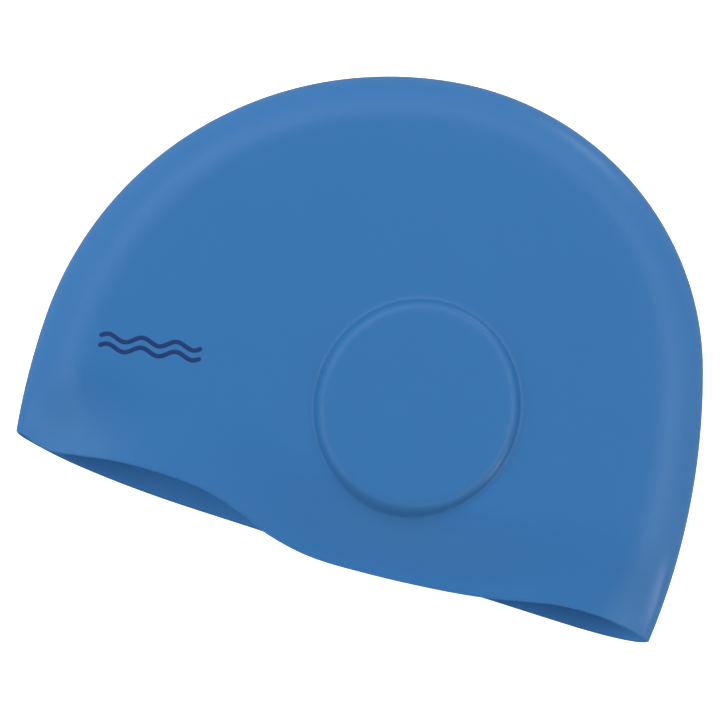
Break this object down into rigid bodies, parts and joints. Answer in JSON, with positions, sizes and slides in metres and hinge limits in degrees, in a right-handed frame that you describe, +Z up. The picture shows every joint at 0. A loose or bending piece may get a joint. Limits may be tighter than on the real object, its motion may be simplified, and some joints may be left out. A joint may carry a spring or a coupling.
{
  "type": "swim cap",
  "caption": "One-piece moulded silicone swim cap with raised oval ear pockets and a wavy open rim, unworn and lying on its side.",
  "frame": {"origin": "middle of the underside of the bounding box, on the surface that the cap lies on", "axes": "+X from the forehead to the nape along the rim, +Y from the rim to the crown, +Z up through the cap's thickness, from its right side to its left"},
  "size_m": [0.2238, 0.1746, 0.0366],
  "materials": {
    "silicone": "smooth moulded silicone rubber, satin, mid blue"
  },
  "bodies": {
    "root": {"cap_shell": "silicone"}
  },
  "joints": []
}
